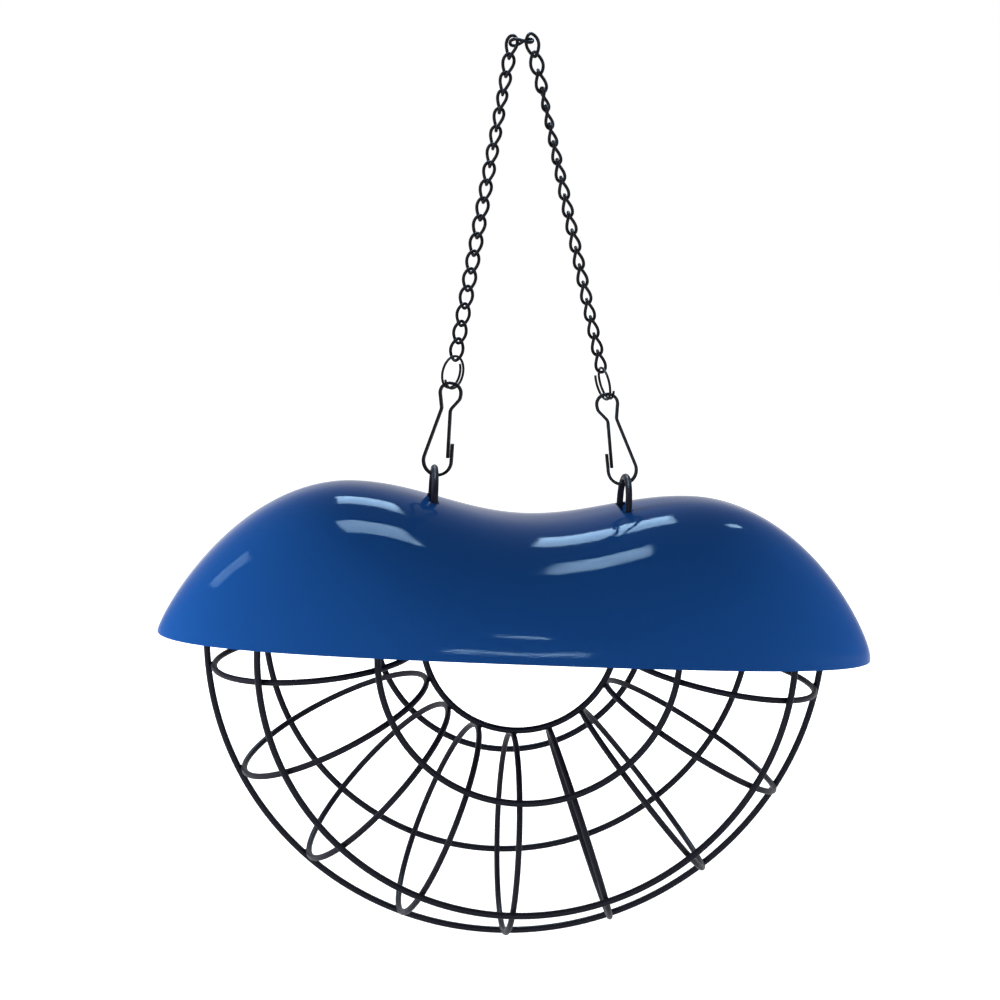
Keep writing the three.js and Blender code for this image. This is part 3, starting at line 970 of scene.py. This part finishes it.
class FEEDER_OT_stage(bpy.types.Operator):
    """Sets the floor, the lights and the camera"""

    bl_idname = "feeder.stage"
    bl_label = "Stage"
    bl_options = {"REGISTER", "UNDO"}

    def execute(self, context):
        scene = context.scene
        stage = scene.feeder_stage
        scene.view_settings.view_transform = "Standard"
        self.add_floor(scene, stage)
        self.add_world(scene, stage)
        self.add_lamps(scene, stage)
        self.add_camera(scene, stage)
        return {"FINISHED"}

    def add_floor(self, scene, stage):
        """A wide disc under the feeder."""
        bm = bmesh.new()
        bmesh.ops.create_circle(bm, cap_ends=True, segments=64, radius=stage.floor_radius)
        bmesh.ops.translate(bm, verts=bm.verts[:], vec=(0, 0, cad_box[0][2] - stage.drop))
        mesh = bpy.data.meshes.new("floor")
        bm.to_mesh(mesh)
        bm.free()
        mesh.materials.append(self.pale_floor(stage))
        floor = bpy.data.objects.new("floor", mesh)
        scene.collection.objects.link(floor)

    def pale_floor(self, stage):
        """A pale floor that keeps the feeder's shadow and glows to white farther away."""
        material = bpy.data.materials.new("pale_floor")
        material.use_nodes = True
        nodes, links = material.node_tree.nodes, material.node_tree.links
        shader = nodes["Principled BSDF"]
        shader.inputs["Base Color"].default_value = (*stage.floor, 1)
        shader.inputs["Roughness"].default_value = 0.9
        place = nodes.new("ShaderNodeTexCoord")
        away = nodes.new("ShaderNodeVectorMath")
        away.operation = "LENGTH"
        level = add_node(
            nodes, "ShaderNodeMapRange",
            From_Min=stage.glow_start, From_Max=stage.glow_end, To_Min=stage.least_glow, To_Max=1,
        )
        strength = nodes.new("ShaderNodeMath")
        strength.operation = "MULTIPLY"
        glow = nodes.new("ShaderNodeEmission")
        lit = nodes.new("ShaderNodeAddShader")
        links.new(place.outputs["Object"], away.inputs[0])
        links.new(away.outputs["Value"], level.inputs["Value"])
        links.new(self.seen_ray(nodes, links), strength.inputs[0])
        links.new(level.outputs["Result"], strength.inputs[1])
        links.new(strength.outputs["Value"], glow.inputs["Strength"])
        links.new(shader.outputs["BSDF"], lit.inputs[0])
        links.new(glow.outputs["Emission"], lit.inputs[1])
        links.new(lit.outputs["Shader"], nodes["Material Output"].inputs["Surface"])
        return material

    def seen_ray(self, nodes, links):
        """One for rays that see the background straight, in a reflection or through glass."""
        path = nodes.new("ShaderNodeLightPath").outputs
        seen = path["Is Camera Ray"]
        for other in ("Is Glossy Ray", "Is Transmission Ray"):
            either = nodes.new("ShaderNodeMath")
            either.operation = "MAXIMUM"
            links.new(seen, either.inputs[0])
            links.new(path[other], either.inputs[1])
            seen = either.outputs["Value"]
        return seen

    def add_world(self, scene, stage):
        """A white background that gives only a dim, even light."""
        world = bpy.data.worlds.new("studio")
        world.use_nodes = True
        nodes, links = world.node_tree.nodes, world.node_tree.links
        dim = nodes["Background"]
        dim.inputs["Color"].default_value = (1, 1, 1, 1)
        dim.inputs["Strength"].default_value = stage.even_light
        white = add_node(nodes, "ShaderNodeBackground", Color=(1, 1, 1, 1), Strength=1)
        pick = nodes.new("ShaderNodeMixShader")
        links.new(self.seen_ray(nodes, links), pick.inputs["Fac"])
        links.new(dim.outputs["Background"], pick.inputs[1])
        links.new(white.outputs["Background"], pick.inputs[2])
        links.new(pick.outputs["Shader"], nodes["World Output"].inputs["Surface"])
        scene.world = world

    def add_lamps(self, scene, stage):
        """Softboxes light the colours, and panels are what the enamel mirrors."""
        for softbox in SOFTBOXES:
            self.add_lamp(scene, *softbox).visible_glossy = False
        for panel in PANELS:
            stand = self.add_lamp(scene, *panel)
            stand.visible_diffuse = False
            stand.data.color = stage.panel_tint

    def add_lamp(self, scene, name, place, target, size, power, turn):
        """A soft lamp aimed at a target, turned by some degrees about its own beam."""
        lamp = bpy.data.lights.new(name, "AREA")
        lamp.shape = "RECTANGLE"
        lamp.size, lamp.size_y = size
        lamp.energy = power
        stand = bpy.data.objects.new(name, lamp)
        self.aim(stand, place, target, math.radians(turn))
        scene.collection.objects.link(stand)
        return stand

    def add_camera(self, scene, stage):
        """The camera, as it stands for the front view."""
        lens = bpy.data.cameras.new("camera")
        lens.sensor_width = 36
        lens.lens = stage.lens
        lens.clip_start = 0.01
        camera = bpy.data.objects.new("camera", lens)
        self.aim(camera, stage.camera, stage.target, stage.camera_roll)
        scene.collection.objects.link(camera)
        scene.camera = camera

    def aim(self, stand, place, target, turn):
        """Sets a lamp or camera in its place, aimed at a target and turned about its own view."""
        view = (Vector(target) - Vector(place)).to_track_quat("-Z", "Y").to_matrix()
        stand.location = place
        stand.rotation_euler = (view @ Matrix.Rotation(turn, 3, "Z")).to_euler()


class FEEDER_PT_panel(bpy.types.Panel):
    """Lists the feeder's pieces and settings in the sidebar"""

    bl_label = "Fat Ball Feeder"
    bl_space_type = "VIEW_3D"
    bl_region_type = "UI"
    bl_category = "Feeder"

    def draw(self, context):
        for operator in OPERATORS:
            self.layout.operator(operator.bl_idname)
        for label in SETTINGS:
            box = self.layout.box()
            box.label(text=label.replace("feeder_", "").title())
            settings = getattr(context.scene, label)
            for name in settings.__annotations__:
                box.prop(settings, name)


SETTINGS = {
    "feeder_cage": CageSettings,
    "feeder_hanger": HangerSettings,
    "feeder_roof": RoofSettings,
    "feeder_hooks": HookSettings,
    "feeder_chain": ChainSettings,
    "feeder_stage": StageSettings,
}
OPERATORS = (
    FEEDER_OT_rings,
    FEEDER_OT_hoops,
    FEEDER_OT_welds,
    FEEDER_OT_roof,
    FEEDER_OT_hangers,
    FEEDER_OT_hooks,
    FEEDER_OT_split_rings,
    FEEDER_OT_chain,
    FEEDER_OT_stage,
)
CLASSES = (*SETTINGS.values(), *OPERATORS, FEEDER_PT_panel)


def register():
    """Registers the classes and gives the scene its settings."""
    for item in CLASSES:
        bpy.utils.register_class(item)
    for name, settings in SETTINGS.items():
        setattr(bpy.types.Scene, name, PointerProperty(type=settings))


def unregister():
    """Takes the settings and classes away again."""
    for name in SETTINGS:
        delattr(bpy.types.Scene, name)
    for item in reversed(CLASSES):
        bpy.utils.unregister_class(item)


def main():
    """Builds the whole feeder on its stage."""
    register()
    bpy.ops.feeder.rings()
    bpy.ops.feeder.hoops()
    bpy.ops.feeder.welds()
    bpy.ops.feeder.roof()
    bpy.ops.feeder.hangers()
    bpy.ops.feeder.hooks()
    bpy.ops.feeder.split_rings()
    bpy.ops.feeder.chain()
    bpy.ops.feeder.stage()


if __name__ == "__main__":
    main()
